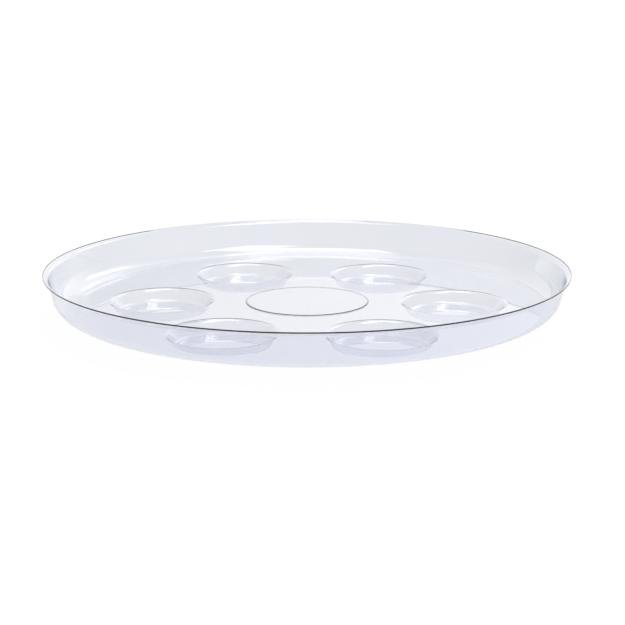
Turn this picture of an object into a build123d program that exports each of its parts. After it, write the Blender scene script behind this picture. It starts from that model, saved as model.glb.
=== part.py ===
from build123d import *

import os
from math import cos, hypot, radians, sin, tan

# Clear plastic plant saucer, formed from one thin sheet
# Sizes are in millimetres, +Z is up, and the origin is under the middle, on the surface that the feet stand on

# Sheet that everything is formed from
sheet = 0.75

# Rim: a lip that flares out and up from the top of the wall, trimmed upright at the rim's radius
rim_radius = 177.8
rim_height = 24.8
lip_width = 3.6
lip_rise = 2.15
lip_bend_radius = 4.0
lip_root = 4.0
trim_overrun = 1.0

# Side wall: drafted, with a wide rounded corner where it meets the floor
wall_draft = 12.7
corner_radius = 13.1
corner_ledge = 2.5

# Feet: a ring of round cups pressed down out of the floor, with flat floor left round each
foot_count = 6
foot_edge_gap = 18.0
foot_side_gap = 24.0
foot_depth = 8.0
foot_wall_run = 4.9
foot_mouth_bend_radius = 4.0
foot_base_bend_radius = 3.0
foot_ledge = 1.0

# Middle disc: raised a little, inside the ring of feet
disc_gap = 19.9
disc_rise = 0.55
disc_edge_radius = 0.2

# Levels: the top faces of the foot bases and of the floor
base_level = sheet
floor_level = base_level + foot_depth

# Top face of the wall and the lip, from the trimmed edge inwards
rim_level = floor_level + rim_height
wall_top_radius = rim_radius - lip_width
wall_top_level = rim_level - lip_rise
wall_foot_radius = wall_top_radius - (wall_top_level - floor_level) * tan(radians(wall_draft))

# Before it is trimmed, the lip runs on past the rim at its own slope
untrimmed_radius = rim_radius + trim_overrun
untrimmed_level = rim_level + trim_overrun * lip_rise / lip_width

# The wall hands over to the lip a little below the bend
seam_radius = wall_top_radius - lip_root * sin(radians(wall_draft))
seam_level = wall_top_level - lip_root * cos(radians(wall_draft))

# The floor hands over to the rounded corner on the flat, just before it bends
corner_turn = 90 - wall_draft
corner_start_radius = wall_foot_radius - corner_radius * tan(radians(corner_turn / 2))
floor_radius = corner_start_radius - corner_ledge

# The ring of feet fills the floor, but for the gap to its edge and the gap between neighbours
half_step_share = sin(radians(180 / foot_count))
foot_ring_radius = (floor_radius - foot_edge_gap + foot_side_gap / 2) / (1 + half_step_share)
foot_opening_radius = foot_ring_radius * half_step_share - foot_side_gap / 2

# Each foot starts with a flat ledge, then bends into its sloping wall
foot_slope_share = foot_depth / hypot(foot_depth, foot_wall_run)
foot_bend_reach = foot_mouth_bend_radius * (1 - (1 - foot_slope_share**2) ** 0.5) / foot_slope_share
foot_mouth_radius = foot_opening_radius - foot_ledge - foot_bend_reach
foot_base_radius = foot_mouth_radius - foot_wall_run

# Inside the ring of feet, the middle disc leaves a band of flat floor
disc_radius = foot_ring_radius - foot_opening_radius - disc_gap

os.makedirs("parts", exist_ok=True)

# Floor panel: a flat disc with a round opening for each foot, and the raised middle disc
with BuildPart() as floor_panel:
    with BuildSketch(Plane.XY.offset(floor_level - sheet)):
        Circle(floor_radius)
        with PolarLocations(foot_ring_radius, foot_count):
            Circle(foot_opening_radius, mode=Mode.SUBTRACT)
    extrude(amount=sheet)
    with BuildSketch(Plane.XY.offset(floor_level)):
        Circle(disc_radius)
    extrude(amount=disc_rise)
    fillet(floor_panel.edges(Select.LAST).filter_by(GeomType.CIRCLE), disc_edge_radius)
    with BuildSketch(Plane.XY.offset(floor_level - sheet)):
        Circle(disc_radius - sheet)
    extrude(amount=disc_rise, mode=Mode.SUBTRACT)
    fillet(floor_panel.edges(Select.LAST).filter_by(GeomType.CIRCLE), disc_edge_radius)

floor_panel.part.label = "floor_panel"
export_step(floor_panel.part, "parts/floor_panel.step")

# Side wall: the rounded corner and the drafted wall, one sheet thick below the top face drawn here
with BuildPart() as side_wall:
    with BuildSketch(Plane.XZ):
        with BuildLine():
            FilletPolyline(
                (floor_radius, floor_level),
                (wall_foot_radius, floor_level),
                (seam_radius, seam_level),
                radius=corner_radius,
            )
            offset(amount=sheet, side=Side.RIGHT)
        make_face()
    revolve(axis=Axis.Z)

side_wall.part.label = "side_wall"
export_step(side_wall.part, "parts/side_wall.step")

# Rim lip: the bend over the top of the wall and the flared lip, cut off upright as a die trims the sheet
with BuildPart() as rim_lip:
    with BuildSketch(Plane.XZ):
        with BuildLine():
            FilletPolyline(
                (seam_radius, seam_level),
                (wall_top_radius, wall_top_level),
                (untrimmed_radius, untrimmed_level),
                radius=lip_bend_radius,
            )
            offset(amount=sheet, side=Side.RIGHT)
        make_face()
        with Locations((rim_radius, rim_level)):
            Rectangle(2 * trim_overrun, rim_height, align=(Align.MIN, Align.CENTER), mode=Mode.SUBTRACT)
    revolve(axis=Axis.Z)

rim_lip.part.label = "rim_lip"
export_step(rim_lip.part, "parts/rim_lip.step")

# Feet: each a round cup turned about its own upright axis, filling one opening of the floor
for number, place in enumerate(PolarLocations(foot_ring_radius, foot_count), start=1):
    stand = Plane(place)
    with BuildPart() as foot:
        with BuildSketch(Plane(origin=stand.origin, x_dir=stand.x_dir, z_dir=-stand.y_dir)):
            with BuildLine():
                FilletPolyline(
                    (foot_opening_radius, floor_level),
                    (foot_mouth_radius, floor_level),
                    (foot_base_radius, base_level),
                    (0, base_level),
                    radius=[foot_mouth_bend_radius, foot_base_bend_radius],
                )
                offset(amount=sheet, side=Side.LEFT)
            make_face()
        revolve(axis=Axis(stand.origin, stand.z_dir))

    foot.part.label = f"foot_{number}"
    export_step(foot.part, f"parts/foot_{number}.step")
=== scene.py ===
from math import cos, hypot, pi, radians, sin, tan
from types import SimpleNamespace

import bpy
import numpy as np
from bpy.props import FloatProperty, FloatVectorProperty, IntProperty, PointerProperty
from mathutils import Matrix, Vector
from mathutils.geometry import delaunay_2d_cdt


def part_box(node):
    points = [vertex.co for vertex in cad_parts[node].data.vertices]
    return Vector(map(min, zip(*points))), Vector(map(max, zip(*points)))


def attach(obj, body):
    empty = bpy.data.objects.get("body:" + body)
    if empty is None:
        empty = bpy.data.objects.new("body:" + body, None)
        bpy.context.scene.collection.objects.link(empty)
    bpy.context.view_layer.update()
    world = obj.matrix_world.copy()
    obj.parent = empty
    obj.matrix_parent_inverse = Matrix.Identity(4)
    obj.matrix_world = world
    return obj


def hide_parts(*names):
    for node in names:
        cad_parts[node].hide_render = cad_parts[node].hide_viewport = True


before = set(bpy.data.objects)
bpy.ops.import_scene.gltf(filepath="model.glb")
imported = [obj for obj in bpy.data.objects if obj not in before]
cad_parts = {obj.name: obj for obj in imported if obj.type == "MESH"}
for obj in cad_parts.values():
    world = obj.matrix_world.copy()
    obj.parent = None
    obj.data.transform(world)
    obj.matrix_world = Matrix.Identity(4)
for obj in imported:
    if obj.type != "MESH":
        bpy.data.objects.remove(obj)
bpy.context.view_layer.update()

bl_info = {
    "name": "Clear plant saucer",
    "version": (1, 0, 0),
    "blender": (4, 5, 0),
    "location": "3D View > Sidebar > Saucer",
    "description": "Dresses the plant saucer as one formed sheet of clear plastic in a pale studio",
    "category": "Object",
}

MM = 0.001
FEET = sorted(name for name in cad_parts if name.startswith("foot_"))


# Sizes and colours that a user may change

class SheetSettings(bpy.types.PropertyGroup):
    """Bends of the formed sheet, in metres"""

    wall_draft: FloatProperty(
        name="Wall draft", description="Lean of the side wall from upright",
        default=radians(12.7), subtype="ANGLE", unit="ROTATION")
    corner_radius: FloatProperty(
        name="Corner radius", description="Inner radius where the floor turns up into the wall",
        default=13.1 * MM, subtype="DISTANCE", unit="LENGTH")
    lip_width: FloatProperty(
        name="Lip width", description="Level width of the flared lip",
        default=3.6 * MM, subtype="DISTANCE", unit="LENGTH")
    lip_rise: FloatProperty(
        name="Lip rise", description="How far the lip climbs over its width",
        default=2.15 * MM, subtype="DISTANCE", unit="LENGTH")
    lip_bend: FloatProperty(
        name="Lip bend", description="Radius of the bend from the wall to the lip",
        default=4.0 * MM, subtype="DISTANCE", unit="LENGTH")
    trim_round: FloatProperty(
        name="Trimmed edge", description="Small rounding left on the two corners of the trimmed edge",
        default=0.03 * MM, subtype="DISTANCE", unit="LENGTH")
    foot_ledge: FloatProperty(
        name="Foot ledge", description="Flat ring of floor that belongs to each foot",
        default=1.0 * MM, subtype="DISTANCE", unit="LENGTH")
    foot_wall_run: FloatProperty(
        name="Foot wall run", description="Level distance that a foot's sloping wall covers",
        default=4.9 * MM, subtype="DISTANCE", unit="LENGTH")
    foot_mouth_bend: FloatProperty(
        name="Foot mouth bend", description="Radius of the bend from the floor into a foot",
        default=4.0 * MM, subtype="DISTANCE", unit="LENGTH")
    foot_base_bend: FloatProperty(
        name="Foot base bend", description="Inner radius where a foot's wall turns into its flat base",
        default=3.0 * MM, subtype="DISTANCE", unit="LENGTH")
    disc_gap: FloatProperty(
        name="Disc gap", description="Flat floor between the feet and the raised middle disc",
        default=19.9 * MM, subtype="DISTANCE", unit="LENGTH")
    disc_bend: FloatProperty(
        name="Disc bend", description="Radius of the bends of the middle disc's step",
        default=0.2 * MM, subtype="DISTANCE", unit="LENGTH")


class DetailSettings(bpy.types.PropertyGroup):
    """How finely the skin is divided"""

    rim_sides: IntProperty(
        name="Rim sides", description="Steps round the rim and the side wall", default=480, min=12)
    foot_sides: IntProperty(
        name="Foot sides", description="Steps round each foot", default=128, min=12)
    disc_sides: IntProperty(
        name="Disc sides", description="Steps round the middle disc", default=240, min=12)
    wide_bend_steps: IntProperty(
        name="Wide bend steps", description="Steps across the wide rounded corner", default=36, min=2)
    bend_steps: IntProperty(
        name="Bend steps", description="Steps across each smaller bend", default=8, min=2)
    trim_steps: IntProperty(
        name="Trim steps", description="Steps across each corner of the trimmed edge", default=3, min=1)


class PlasticSettings(bpy.types.PropertyGroup):
    """Clear plastic of the sheet"""

    tint: FloatVectorProperty(
        name="Tint", description="Colour that light keeps on its way through the sheet",
        default=(0.872, 0.882, 0.932), subtype="COLOR", size=3, min=0, max=1)
    tint_deep: FloatVectorProperty(
        name="Deep tint", description="Colour where the sheet was drawn a little less in forming",
        default=(0.855, 0.870, 0.928), subtype="COLOR", size=3, min=0, max=1)
    depth_colour: FloatVectorProperty(
        name="Depth colour", description="Colour that a long way through the plastic takes",
        default=(0.45, 0.50, 0.72), subtype="COLOR", size=3, min=0, max=1)
    depth_density: FloatProperty(
        name="Depth density", description="How fast the plastic darkens with depth, per metre",
        default=40.0, min=0)
    ior: FloatProperty(
        name="Index of refraction", description="Index of the clear sheet", default=1.53, min=1)
    roughness: FloatProperty(
        name="Roughness", description="Polish of the sheet", default=0.02, min=0, max=1)
    roughness_worn: FloatProperty(
        name="Rubbed roughness", description="Polish where the sheet is faintly rubbed",
        default=0.06, min=0, max=1)
    wave_size: FloatProperty(
        name="Wave size", description="Spacing of the soft waves that forming leaves in the sheet",
        default=55 * MM, subtype="DISTANCE", unit="LENGTH")
    wave_height: FloatProperty(
        name="Wave height", description="Height of those waves",
        default=0.05 * MM, subtype="DISTANCE", unit="LENGTH")


class StudioSettings(bpy.types.PropertyGroup):
    """Camera, floor and lights"""

    camera_distance: FloatProperty(
        name="Camera distance", description="From the middle of the floor panel to the lens",
        default=0.95472, subtype="DISTANCE", unit="LENGTH")
    camera_height: FloatProperty(
        name="Camera elevation", description="Angle of the lens above the floor panel",
        default=radians(13.574), subtype="ANGLE", unit="ROTATION")
    camera_turn: FloatProperty(
        name="Camera turn", description="Turn of the camera about the upright axis",
        default=radians(2.008), subtype="ANGLE", unit="ROTATION")
    camera_pitch: FloatProperty(
        name="Camera pitch", description="How far the camera looks down",
        default=radians(14.056), subtype="ANGLE", unit="ROTATION")
    camera_side: FloatProperty(
        name="Camera side step", description="How far the camera stands to the right of the middle",
        default=3.65 * MM, subtype="DISTANCE", unit="LENGTH")
    camera_lens: FloatProperty(
        name="Lens", description="Focal length in millimetres", default=80.0, min=1)
    floor_size: FloatProperty(
        name="Floor size", description="Width of the studio floor",
        default=60.0, subtype="DISTANCE", unit="LENGTH")
    floor_glow: FloatProperty(
        name="Floor glow",
        description="Brightness of the floor to the eye, in gloss and through the plastic",
        default=0.97, min=0)
    floor_matte: FloatProperty(
        name="Floor matte",
        description="Share of the studio's light that the floor scatters back, so that a shadow shows",
        default=0.05, min=0, max=1)
    room_left: FloatProperty(
        name="Room at the left", description="Brightness of the dim room at the left of the camera",
        default=0.08, min=0)
    room_right: FloatProperty(
        name="Room at the right", description="Brightness of the dim room at the right of the camera",
        default=0.40, min=0)
    backdrop_full: FloatProperty(
        name="Backdrop full",
        description="Angle from straight behind within which the backdrop is at full strength",
        default=radians(20), subtype="ANGLE", unit="ROTATION")
    backdrop_end: FloatProperty(
        name="Backdrop end",
        description="Angle from straight behind at which the backdrop has faded out",
        default=radians(68), subtype="ANGLE", unit="ROTATION")
    backdrop_left: FloatProperty(
        name="Backdrop at the left", description="Brightness of the backdrop's left side",
        default=0.80, min=0)
    backdrop_right: FloatProperty(
        name="Backdrop at the right", description="Brightness of the backdrop's right side",
        default=1.25, min=0)


# Shape of the formed sheet

def left_of(heading):
    """Unit direction a quarter turn to the left of a heading: minus its sine, and its cosine."""
    return np.stack([-np.sin(heading), np.cos(heading)], axis=-1)


def along(heading):
    """Unit direction of a heading: its cosine and its sine."""
    return np.stack([np.cos(heading), np.sin(heading)], axis=-1)


def bent_path(corners, bends, steps):
    """Points and side normals of a folded line with rounded corners.

    A straight run ends before its corner by the bend's radius times the tangent of half the turn. From
    there the points lie one radius from the bend's centre while the heading turns evenly to that of the
    next run. Each normal is the heading turned a quarter turn to the left.
    """
    corners = np.asarray(corners, float)
    run = np.diff(corners, axis=0)
    heading = np.arctan2(run[:, 1], run[:, 0])
    points = [corners[:1]]
    headings = [heading[:1]]
    for corner, bend, before, after, count in zip(corners[1:-1], bends, heading, heading[1:], steps):
        turn = (after - before + pi) % (2 * pi) - pi
        side = np.sign(turn)
        start = corner - bend * tan(abs(turn) / 2) * along(before)
        centre = start + side * bend * left_of(before)
        sweep = before + turn * np.linspace(0, 1, count + 1)
        points.append(centre - side * bend * left_of(sweep))
        headings.append(sweep)
    points.append(corners[-1:])
    headings.append(heading[-1:])
    return np.concatenate(points), left_of(np.concatenate(headings))


def sheet_under(corners, sheet):
    """Corners of the sheet's other face, one sheet thickness to the right of a folded line.

    Between two runs the corner moves back along the sum of their normals, divided by one plus the normals'
    product, times the thickness. An end moves back along the normal of its only run.
    """
    corners = np.asarray(corners, float)
    run = np.diff(corners, axis=0)
    normal = left_of(np.arctan2(run[:, 1], run[:, 0]))
    before, after = normal[:-1], normal[1:]
    inner = (before + after) / (1 + (before * after).sum(axis=1))[:, None]
    return corners - sheet * np.concatenate([normal[:1], inner, normal[-1:]])


def turned(path, normals, sides, axis=(0.0, 0.0)):
    """Places and normals of a path of radius and height, carried round an upright axis.

    Each place is the axis plus the path's radius times the cosine and sine of the step round, at the path's
    height. The normals turn with it.
    """
    spin = along(2 * pi * np.arange(sides) / sides)
    place = np.empty((len(path), sides, 3))
    place[..., :2] = path[:, None, :1] * spin + np.asarray(axis)
    place[..., 2] = path[:, None, 1]
    facing = np.empty_like(place)
    facing[..., :2] = normals[:, None, :1] * spin
    facing[..., 2] = normals[:, None, 1]
    return place, facing


class Skin:
    """Points, normals and faces of one closed surface, gathered patch by patch."""

    def __init__(self):
        self.places, self.normals, self.quads, self.triangles = [], [], [], []
        self.total = 0

    def points(self, places, normals):
        """Adds points and returns their numbers, in the same layout."""
        layout = places.shape[:-1]
        count = int(np.prod(layout))
        self.places.append(places.reshape(-1, 3))
        self.normals.append(normals.reshape(-1, 3))
        numbers = np.arange(self.total, self.total + count).reshape(layout)
        self.total += count
        return numbers

    def bands(self, rows):
        """Joins each ring of a turned patch to the next with a band of four-sided faces."""
        ahead = np.roll(rows, -1, axis=1)
        quads = np.stack([rows[:-1], rows[1:], ahead[1:], ahead[:-1]], axis=-1)
        self.quads.append(quads.reshape(-1, 4))

    def cap(self, ring, height, centre, up):
        """Closes a level ring with triangles that meet at its middle."""
        middle = self.points(np.array([[centre[0], centre[1], height]]), np.array([[0.0, 0.0, up]]))
        ahead = np.roll(ring, -1)
        pair = (ring, ahead) if up > 0 else (ahead, ring)
        self.triangles.append(np.stack([np.full(len(ring), middle[0]), *pair], axis=-1))

    def mesh(self, name):
        """Puts the gathered surface into a new mesh with its own normals."""
        made = bpy.data.meshes.new(name)
        faces = np.concatenate(self.quads).tolist() + np.concatenate(self.triangles).tolist()
        made.from_pydata(np.concatenate(self.places), [], faces)
        made.shade_smooth()
        made.normals_split_custom_set_from_vertices(np.concatenate(self.normals))
        return made


def saucer_sizes(settings):
    """Sizes of the sheet, from the boxes of the frame's nodes and from the settings.

    A foot's mouth corner stands in from its flat ledge by the mouth bend's radius times the tangent of half
    the turn: one minus the cosine of the foot wall's slope, divided by its sine.
    """
    rim_low, rim_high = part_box("rim_lip")
    panel_low, panel_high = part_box("floor_panel")
    foot_low, foot_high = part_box("foot_1")
    s = SimpleNamespace()
    s.rim_radius = min(rim_high.x, rim_high.y, -rim_low.x, -rim_low.y)
    s.rim_level = rim_high.z
    s.floor_radius = min(panel_high.x, panel_high.y, -panel_low.x, -panel_low.y)
    s.floor_level = foot_high.z
    s.disc_level = panel_high.z
    s.sheet = s.floor_level - panel_low.z
    s.base_level = foot_low.z + s.sheet
    s.foot_ring = (foot_low.x + foot_high.x) / 2
    s.foot_opening = (foot_high.x - foot_low.x) / 2
    s.trim_height = s.sheet * hypot(settings.lip_width, settings.lip_rise) / settings.lip_width
    s.wall_top = s.rim_radius - settings.lip_width
    s.wall_top_level = s.rim_level - settings.lip_rise
    s.wall_foot = s.wall_top - (s.wall_top_level - s.floor_level) * tan(settings.wall_draft)
    depth = s.floor_level - s.base_level
    slant = depth / hypot(depth, settings.foot_wall_run)
    bend_reach = settings.foot_mouth_bend * (1 - (1 - slant**2) ** 0.5) / slant
    s.foot_mouth = s.foot_opening - settings.foot_ledge - bend_reach
    s.foot_base = s.foot_mouth - settings.foot_wall_run
    s.disc_radius = s.foot_ring - s.foot_opening - settings.disc_gap
    s.disc_ledge = s.disc_radius + s.sheet
    return s


def add_rim(skin, s, sheet, detail):
    """Corner, wall and lip: the inner face out to the trimmed edge, over it, and the outer face back.

    The edge is cut upright, so the outer face ends straight under the inner one, lower by the sheet's
    thickness divided by the cosine of the lip's slope.
    """
    inner = [
        (s.floor_radius, s.floor_level),
        (s.wall_foot, s.floor_level),
        (s.wall_top, s.wall_top_level),
        (s.rim_radius, s.rim_level),
    ]
    outer = sheet_under(inner, s.sheet)[::-1]
    outer[0] = s.rim_radius, s.rim_level - s.trim_height
    bends = [
        sheet.corner_radius, sheet.lip_bend, sheet.trim_round,
        sheet.trim_round, sheet.lip_bend - s.sheet, sheet.corner_radius + s.sheet,
    ]
    small, wide, trim = detail.bend_steps, detail.wide_bend_steps, detail.trim_steps
    path, normals = bent_path([*inner, *outer], bends, [wide, small, trim, trim, small, wide])
    rows = skin.points(*turned(path, normals, detail.rim_sides))
    skin.bands(rows)
    return rows[0], rows[-1]


def add_dish(skin, s, corners, bends, under_bends, axis, sides, steps):
    """A round dish or step in the floor, from its middle out: both faces, each closed at the middle."""
    counts = [steps] * len(bends)
    top, top_normals = bent_path(corners, bends, counts)
    under_corners = sheet_under(corners, s.sheet)[::-1]
    under, under_normals = bent_path(under_corners, under_bends[::-1], counts)
    top_rows = skin.points(*turned(top[1:], top_normals[1:], sides, axis))
    under_rows = skin.points(*turned(under[:-1], under_normals[:-1], sides, axis))
    skin.bands(top_rows)
    skin.bands(under_rows)
    skin.cap(top_rows[0], top[0, 1], axis, 1.0)
    skin.cap(under_rows[-1], under[-1, 1], axis, -1.0)
    return top_rows[-1], under_rows[0]


def add_floor(skin, holes, rim):
    """Flat floor between the rim's corner and the round dishes: both faces share one triangulation.

    A triangle is left out where its middle lies inside a dish: nearer to the dish's centre than the ring's
    radius times the squared cosine of half a step.
    """
    places = np.concatenate(skin.places)
    top = np.concatenate([rim[0]] + [hole[0] for hole in holes])
    under = np.concatenate([rim[1]] + [hole[1] for hole in holes])
    flat = places[top, :2]
    fill_all, merge_distance = 0, 0.0
    _, _, triangles, sources, _, _ = delaunay_2d_cdt(
        [Vector(point) for point in flat], ring_edges([rim] + holes), [], fill_all, merge_distance)
    order = np.array([source[0] for source in sources])
    faces = order[np.array(triangles)]
    middle = flat[faces].mean(axis=1)
    keep = np.ones(len(faces), bool)
    start = len(rim[0])
    for hole in holes:
        ring = flat[start:start + len(hole[0])]
        start += len(hole[0])
        centre = ring.mean(axis=0)
        reach = np.linalg.norm(ring[0] - centre)
        keep &= np.linalg.norm(middle - centre, axis=1) > reach * cos(pi / len(ring)) ** 2
    faces = faces[keep]
    skin.triangles.append(top[faces])
    skin.triangles.append(under[faces][:, ::-1])


def ring_edges(rings):
    """Pairs of neighbouring numbers round each ring, numbered one ring after another."""
    pairs, start = [], 0
    for ring in rings:
        number = start + np.arange(len(ring[0]))
        pairs += np.stack([number, np.roll(number, -1)], axis=1).tolist()
        start += len(ring[0])
    return pairs


# Clear plastic

# Noise of the sheet's soft waves and of its faintly rubbed patches
WAVE_NOISE = {"Detail": 1.5, "Roughness": 0.4}
RUB_NOISE = {"Detail": 6.0, "Roughness": 0.65, "Distortion": 0.6}
RUB_RANGE = {"From_Min": 0.52, "From_Max": 0.72}
RUBS_PER_WAVE = 3


def add_node(tree, kind, place, **inputs):
    """Adds a node and sets its inputs by name."""
    node = tree.nodes.new(kind)
    node.location = place
    for name, value in inputs.items():
        node.inputs[name.replace("_", " ")].default_value = value
    return node


def sheet_variation_group():
    """Node group: soft waves and faint rubbing of a formed sheet, from a place on it."""
    group = bpy.data.node_groups.new("sheet_variation", "ShaderNodeTree")
    sockets = group.interface
    sockets.new_socket("Place", in_out="INPUT", socket_type="NodeSocketVector")
    sockets.new_socket("Wave Scale", in_out="INPUT", socket_type="NodeSocketFloat")
    sockets.new_socket("Rub Scale", in_out="INPUT", socket_type="NodeSocketFloat")
    sockets.new_socket("Waves", in_out="OUTPUT", socket_type="NodeSocketFloat")
    sockets.new_socket("Rubbed", in_out="OUTPUT", socket_type="NodeSocketFloat")
    enter = group.nodes.new("NodeGroupInput")
    leave = group.nodes.new("NodeGroupOutput")
    enter.location, leave.location = (-600, 0), (400, 0)
    waves = add_node(group, "ShaderNodeTexNoise", (-300, 150), **WAVE_NOISE)
    rub = add_node(group, "ShaderNodeTexNoise", (-300, -150), **RUB_NOISE)
    worn = add_node(group, "ShaderNodeMapRange", (0, -150), **RUB_RANGE)
    link = group.links.new
    link(enter.outputs["Place"], waves.inputs["Vector"])
    link(enter.outputs["Place"], rub.inputs["Vector"])
    link(enter.outputs["Wave Scale"], waves.inputs["Scale"])
    link(enter.outputs["Rub Scale"], rub.inputs["Scale"])
    link(rub.outputs["Fac"], worn.inputs["Value"])
    link(waves.outputs["Fac"], leave.inputs["Waves"])
    link(worn.outputs["Result"], leave.inputs["Rubbed"])
    return group


def clear_plastic_material(plastic):
    """Clear sheet: smooth and faintly blue, and darker where light goes a long way through it."""
    material = bpy.data.materials.new("clear_plastic")
    material.use_nodes = True
    tree = material.node_tree
    tree.nodes.clear()
    link = tree.links.new
    place = add_node(tree, "ShaderNodeTexCoord", (-900, 0))
    variation = add_node(tree, "ShaderNodeGroup", (-650, 0))
    variation.node_tree = sheet_variation_group()
    variation.inputs["Wave Scale"].default_value = 1 / plastic.wave_size
    variation.inputs["Rub Scale"].default_value = RUBS_PER_WAVE / plastic.wave_size
    tint = add_node(tree, "ShaderNodeMix", (-350, 200))
    tint.data_type = "RGBA"
    tint.inputs["A"].default_value = (*plastic.tint, 1)
    tint.inputs["B"].default_value = (*plastic.tint_deep, 1)
    rough = add_node(
        tree, "ShaderNodeMapRange", (-350, -50), To_Min=plastic.roughness, To_Max=plastic.roughness_worn)
    bump = add_node(tree, "ShaderNodeBump", (-350, -300), Strength=1.0, Distance=plastic.wave_height)
    shader = add_node(
        tree, "ShaderNodeBsdfPrincipled", (0, 0), Transmission_Weight=1.0, IOR=plastic.ior, Metallic=0.0)
    depth = add_node(
        tree, "ShaderNodeVolumeAbsorption", (0, -500), Color=(*plastic.depth_colour, 1),
        Density=plastic.depth_density)
    output = add_node(tree, "ShaderNodeOutputMaterial", (350, 0))
    link(place.outputs["Object"], variation.inputs["Place"])
    link(variation.outputs["Waves"], tint.inputs["Factor"])
    link(variation.outputs["Rubbed"], rough.inputs["Value"])
    link(variation.outputs["Waves"], bump.inputs["Height"])
    link(tint.outputs["Result"], shader.inputs["Base Color"])
    link(rough.outputs["Result"], shader.inputs["Roughness"])
    link(bump.outputs["Normal"], shader.inputs["Normal"])
    link(shader.outputs["BSDF"], output.inputs["Surface"])
    link(depth.outputs["Volume"], output.inputs["Volume"])
    return material


# Studio

def softbox_group():
    """Node group: how much of a direction falls on a flat, soft-edged light in a far studio.

    The light stands square to the direction towards its middle. The direction's parts across and along the
    light, divided by its part towards the light, are its place on it, as tangents of angles. From each edge
    the mask fades out over the soft edge, and a direction that points away from the light gets none of it.
    """
    least_ahead, facing_from = 0.001, 0.01
    group = bpy.data.node_groups.new("softbox", "ShaderNodeTree")
    sockets = group.interface
    for name in ("Direction", "Toward", "Across"):
        sockets.new_socket(name, in_out="INPUT", socket_type="NodeSocketVector")
    for name in ("Half Width", "Half Length", "Soft Edge"):
        sockets.new_socket(name, in_out="INPUT", socket_type="NodeSocketFloat")
    sockets.new_socket("Mask", in_out="OUTPUT", socket_type="NodeSocketFloat")
    enter = group.nodes.new("NodeGroupInput")
    leave = group.nodes.new("NodeGroupOutput")
    enter.location, leave.location = (-900, 0), (900, 0)
    link = group.links.new

    def vector_math(operation, first, second, place):
        """Adds a vector calculation on two sockets and returns its result."""
        node = group.nodes.new("ShaderNodeVectorMath")
        node.operation = operation
        node.location = place
        link(first, node.inputs[0])
        link(second, node.inputs[1])
        return node.outputs["Value" if operation == "DOT_PRODUCT" else "Vector"]

    def number_math(operation, first, second, place):
        """Adds a calculation on one or two sockets or numbers and returns its result."""
        node = group.nodes.new("ShaderNodeMath")
        node.operation = operation
        node.location = place
        for socket, value in zip(node.inputs, (first, second)):
            if isinstance(value, (int, float)):
                socket.default_value = value
            elif value is not None:
                link(value, socket)
        return node.outputs["Value"]

    direction, toward, across = (enter.outputs[name] for name in ("Direction", "Toward", "Across"))
    lengthwise = vector_math("CROSS_PRODUCT", toward, across, (-650, -250))
    ahead = vector_math("DOT_PRODUCT", direction, toward, (-650, 250))
    ahead_only = number_math("MAXIMUM", ahead, least_ahead, (-450, 250))
    masks = []
    for row, (axis, half) in enumerate(((across, "Half Width"), (lengthwise, "Half Length"))):
        height = -200 * row
        part = vector_math("DOT_PRODUCT", direction, axis, (-450, height))
        share = number_math("DIVIDE", part, ahead_only, (-250, height))
        away = number_math("ABSOLUTE", share, None, (-50, height))
        past = number_math("SUBTRACT", away, enter.outputs[half], (150, height))
        fade = add_node(
            group, "ShaderNodeMapRange", (350, height), From_Min=0.0, To_Min=1.0, To_Max=0.0)
        fade.interpolation_type = "SMOOTHSTEP"
        link(past, fade.inputs["Value"])
        link(enter.outputs["Soft Edge"], fade.inputs["From Max"])
        masks.append(fade.outputs["Result"])
    both = number_math("MULTIPLY", masks[0], masks[1], (550, 0))
    facing = number_math("GREATER_THAN", ahead, facing_from, (350, 250))
    link(number_math("MULTIPLY", both, facing, (720, 0)), leave.inputs["Mask"])
    return group


class Softbox(SimpleNamespace):
    """One far light: the side and height angles of its middle, its roll, half sizes, edge and strength.

    The height angle is counted from the front horizon over the top to the back horizon, and the side angle
    to the right. Half sizes and the soft edge are tangents of angles.
    """


SOFTBOXES = (
    Softbox(side=radians(18), height=radians(73), roll=radians(-25), half_width=0.19, half_length=0.22,
            soft_edge=0.05, strength=2.4),
    Softbox(side=radians(-3), height=radians(96), roll=radians(-8), half_width=0.22, half_length=0.18,
            soft_edge=0.06, strength=3.0),
    Softbox(side=radians(15.5), height=radians(84), roll=0.0, half_width=0.085, half_length=0.12,
            soft_edge=0.02, strength=4.0),
    Softbox(side=0.0, height=radians(120), roll=0.0, half_width=0.10, half_length=0.25,
            soft_edge=0.05, strength=1.3),
    Softbox(side=radians(30), height=radians(137), roll=0.0, half_width=0.06, half_length=0.11,
            soft_edge=0.12, strength=1.5),
    Softbox(side=0.0, height=radians(125), roll=0.0, half_width=1.0, half_length=0.12,
            soft_edge=0.15, strength=0.35),
)

# Sideways parts of a direction, minus at the left, over which the room and the backdrop change brightness
ROOM_SPAN = {"From_Min": -0.2, "From_Max": 0.9}
BACKDROP_SPAN = {"From_Min": -0.3, "From_Max": 0.3}


def light_axes(box, turn):
    """Directions towards a light and across it, both turned with the camera's place.

    Towards the light: the sine of the side angle to the right, and its cosine times the cosine of the
    height angle to the front and times the sine of the height angle up. Across it: the direction in which
    the side angle grows, rolled towards the one in which the height angle grows.
    """
    toward = Vector((sin(box.side), -cos(box.side) * cos(box.height), cos(box.side) * sin(box.height)))
    sideways = Vector((cos(box.side), sin(box.side) * cos(box.height), -sin(box.side) * sin(box.height)))
    upward = Vector((0.0, sin(box.height), cos(box.height)))
    across = cos(box.roll) * sideways + sin(box.roll) * upward
    turned_by = Matrix.Rotation(turn, 3, "Z")
    return turned_by @ toward, turned_by @ across


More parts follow.
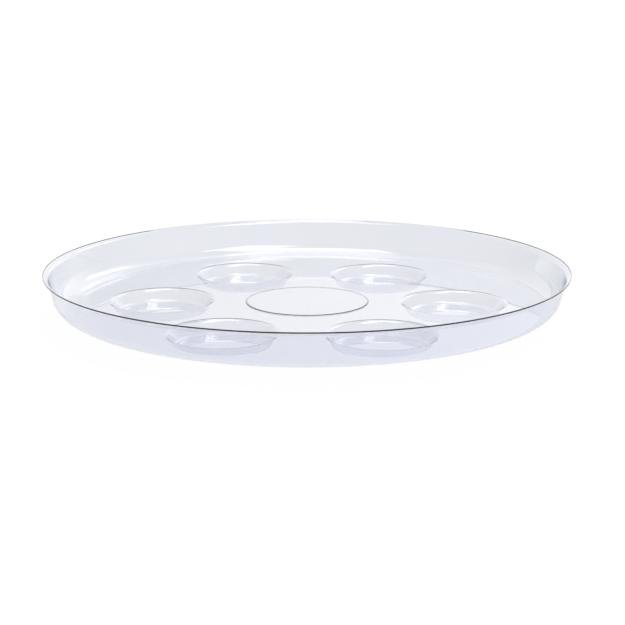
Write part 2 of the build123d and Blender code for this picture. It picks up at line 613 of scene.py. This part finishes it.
def studio_world(studio):
    """Studio round the object: a bright backdrop straight behind, a dim room elsewhere, and soft lights.

    The backdrop fades out as a direction's part to the back falls from the cosine of the backdrop's full
    angle to that of its end angle. To the camera itself the world is plain white.
    """
    plain_white = 1.0
    world = bpy.data.worlds.new("studio")
    world.use_nodes = True
    tree = world.node_tree
    tree.nodes.clear()
    link = tree.links.new
    place = add_node(tree, "ShaderNodeTexCoord", (-1200, 0))
    split = add_node(tree, "ShaderNodeSeparateXYZ", (-1000, 200))
    link(place.outputs["Generated"], split.inputs["Vector"])
    dim = add_node(
        tree, "ShaderNodeMapRange", (-800, 300), **ROOM_SPAN,
        To_Min=studio.room_left, To_Max=studio.room_right)
    link(split.outputs["X"], dim.inputs["Value"])
    backdrop = add_node(
        tree, "ShaderNodeMapRange", (-800, 550), **BACKDROP_SPAN,
        To_Min=studio.backdrop_left, To_Max=studio.backdrop_right)
    link(split.outputs["X"], backdrop.inputs["Value"])
    behind = add_node(
        tree, "ShaderNodeMapRange", (-800, 0),
        From_Min=cos(studio.backdrop_end), From_Max=cos(studio.backdrop_full))
    behind.interpolation_type = "SMOOTHSTEP"
    link(split.outputs["Y"], behind.inputs["Value"])
    room = add_node(tree, "ShaderNodeMix", (-550, 200))
    link(behind.outputs["Result"], room.inputs["Factor"])
    link(dim.outputs["Result"], room.inputs["A"])
    link(backdrop.outputs["Result"], room.inputs["B"])
    total = room.outputs["Result"]
    group = softbox_group()
    for row, box in enumerate(SOFTBOXES):
        light = add_node(tree, "ShaderNodeGroup", (-550, -250 * (row + 1)))
        light.node_tree = group
        toward, across = light_axes(box, studio.camera_turn)
        light.inputs["Toward"].default_value = toward
        light.inputs["Across"].default_value = across
        light.inputs["Half Width"].default_value = box.half_width
        light.inputs["Half Length"].default_value = box.half_length
        light.inputs["Soft Edge"].default_value = box.soft_edge
        link(place.outputs["Generated"], light.inputs["Direction"])
        add = add_node(tree, "ShaderNodeMath", (-250, -150 * row))
        add.operation = "MULTIPLY_ADD"
        link(light.outputs["Mask"], add.inputs[0])
        add.inputs[1].default_value = box.strength
        link(total, add.inputs[2])
        total = add.outputs["Value"]
    path = add_node(tree, "ShaderNodeLightPath", (-250, 400))
    seen = add_node(tree, "ShaderNodeMix", (0, 100))
    link(path.outputs["Is Camera Ray"], seen.inputs["Factor"])
    link(total, seen.inputs["A"])
    seen.inputs["B"].default_value = plain_white
    background = add_node(tree, "ShaderNodeBackground", (250, 100), Color=(1, 1, 1, 1))
    output = add_node(tree, "ShaderNodeOutputWorld", (450, 100))
    link(seen.outputs["Result"], background.inputs["Strength"])
    link(background.outputs["Background"], output.inputs["Surface"])
    return world


def floor_material(studio):
    """Pale floor: nearly white to the eye, in gloss and through the plastic, with a faint shadow on it."""
    material = bpy.data.materials.new("studio_floor")
    material.use_nodes = True
    tree = material.node_tree
    tree.nodes.clear()
    link = tree.links.new
    path = add_node(tree, "ShaderNodeLightPath", (-700, 200))
    glossy = add_node(tree, "ShaderNodeMath", (-450, 250))
    glossy.operation = "MAXIMUM"
    link(path.outputs["Is Camera Ray"], glossy.inputs[0])
    link(path.outputs["Is Glossy Ray"], glossy.inputs[1])
    shown = add_node(tree, "ShaderNodeMath", (-250, 250))
    shown.operation = "MAXIMUM"
    link(glossy.outputs["Value"], shown.inputs[0])
    link(path.outputs["Is Transmission Ray"], shown.inputs[1])
    glow = add_node(tree, "ShaderNodeEmission", (0, 200), Color=(*[studio.floor_glow] * 3, 1))
    link(shown.outputs["Value"], glow.inputs["Strength"])
    matte = add_node(tree, "ShaderNodeBsdfDiffuse", (0, 0), Color=(*[studio.floor_matte] * 3, 1))
    both = add_node(tree, "ShaderNodeAddShader", (250, 100))
    output = add_node(tree, "ShaderNodeOutputMaterial", (450, 100))
    link(glow.outputs["Emission"], both.inputs[0])
    link(matte.outputs["BSDF"], both.inputs[1])
    link(both.outputs["Shader"], output.inputs["Surface"])
    return material


def turned_about_z(x, y, angle):
    """A level place turned about the upright axis, by the cosine and sine of the angle."""
    return x * cos(angle) - y * sin(angle), x * sin(angle) + y * cos(angle)


# Operators

class SAUCER_OT_shell(bpy.types.Operator):
    """Makes the clear formed sheet: floor, feet, middle disc, side wall and lip as one closed skin"""

    bl_idname = "saucer.shell"
    bl_label = "Formed Sheet"

    def execute(self, context):
        scene = context.scene
        sheet, detail = scene.saucer_sheet, scene.saucer_detail
        s = saucer_sizes(sheet)
        skin = Skin()
        rim = add_rim(skin, s, sheet, detail)
        foot = [
            (0, s.base_level),
            (s.foot_base, s.base_level),
            (s.foot_mouth, s.floor_level),
            (s.foot_opening, s.floor_level),
        ]
        bends = [sheet.foot_base_bend, sheet.foot_mouth_bend]
        under_bends = [sheet.foot_base_bend + s.sheet, sheet.foot_mouth_bend - s.sheet]
        sides, steps = detail.foot_sides, detail.bend_steps
        holes = []
        for name in FEET:
            low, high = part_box(name)
            axis = ((low.x + high.x) / 2, (low.y + high.y) / 2)
            holes.append(add_dish(skin, s, foot, bends, under_bends, axis, sides, steps))
        disc = [
            (0, s.disc_level),
            (s.disc_radius, s.disc_level),
            (s.disc_radius, s.floor_level),
            (s.disc_ledge, s.floor_level),
        ]
        bends = [sheet.disc_bend, sheet.disc_bend]
        middle = (0.0, 0.0)
        holes.append(add_dish(skin, s, disc, bends, bends, middle, detail.disc_sides, steps))
        add_floor(skin, holes, rim)
        mesh = skin.mesh("saucer_shell")
        mesh.materials.append(clear_plastic_material(scene.saucer_plastic))
        shell = bpy.data.objects.new("saucer_shell", mesh)
        scene.collection.objects.link(shell)
        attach(shell, "root")
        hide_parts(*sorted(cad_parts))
        return {"FINISHED"}


class SAUCER_OT_stage(bpy.types.Operator):
    """Makes the pale floor, the soft studio light and the camera"""

    bl_idname = "saucer.stage"
    bl_label = "Studio"

    def execute(self, context):
        scene = context.scene
        studio = scene.saucer_studio
        half = studio.floor_size / 2
        corners = [(-half, -half, 0), (half, -half, 0), (half, half, 0), (-half, half, 0)]
        mesh = bpy.data.meshes.new("studio_floor")
        mesh.from_pydata(corners, [], [(0, 1, 2, 3)])
        mesh.materials.append(floor_material(studio))
        floor = bpy.data.objects.new("studio_floor", mesh)
        scene.collection.objects.link(floor)
        scene.world = studio_world(studio)
        scene.view_settings.view_transform = "Standard"
        camera_data = bpy.data.cameras.new("camera")
        camera_data.lens = studio.camera_lens
        camera = bpy.data.objects.new("camera", camera_data)
        reach = studio.camera_distance * cos(studio.camera_height)
        floor_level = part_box(FEET[0])[1].z
        x, y = turned_about_z(studio.camera_side, -reach, studio.camera_turn)
        camera.location = (x, y, floor_level + studio.camera_distance * sin(studio.camera_height))
        level_x, level_y = turned_about_z(0, cos(studio.camera_pitch), studio.camera_turn)
        ahead = Vector((level_x, level_y, -sin(studio.camera_pitch)))
        camera.rotation_euler = ahead.to_track_quat("-Z", "Y").to_euler()
        scene.collection.objects.link(camera)
        scene.camera = camera
        return {"FINISHED"}


class SAUCER_PT_panel(bpy.types.Panel):
    """Lists the steps that make the saucer"""

    bl_idname = "SAUCER_PT_panel"
    bl_label = "Saucer"
    bl_space_type = "VIEW_3D"
    bl_region_type = "UI"
    bl_category = "Saucer"

    def draw(self, context):
        column = self.layout.column()
        for step in STEPS:
            column.operator(step.bl_idname)


STEPS = (SAUCER_OT_shell, SAUCER_OT_stage)
SETTINGS = {
    "saucer_sheet": SheetSettings,
    "saucer_detail": DetailSettings,
    "saucer_plastic": PlasticSettings,
    "saucer_studio": StudioSettings,
}


def register():
    """Registers the settings, the steps and the panel."""
    for cls in (*SETTINGS.values(), *STEPS, SAUCER_PT_panel):
        bpy.utils.register_class(cls)
    for name, cls in SETTINGS.items():
        setattr(bpy.types.Scene, name, PointerProperty(type=cls))


def unregister():
    """Takes them out again."""
    for name in SETTINGS:
        delattr(bpy.types.Scene, name)
    for cls in reversed((*SETTINGS.values(), *STEPS, SAUCER_PT_panel)):
        bpy.utils.unregister_class(cls)


def main():
    """Makes the saucer and its studio."""
    register()
    bpy.ops.saucer.stage()
    bpy.ops.saucer.shell()


if __name__ == "__main__":
    main()
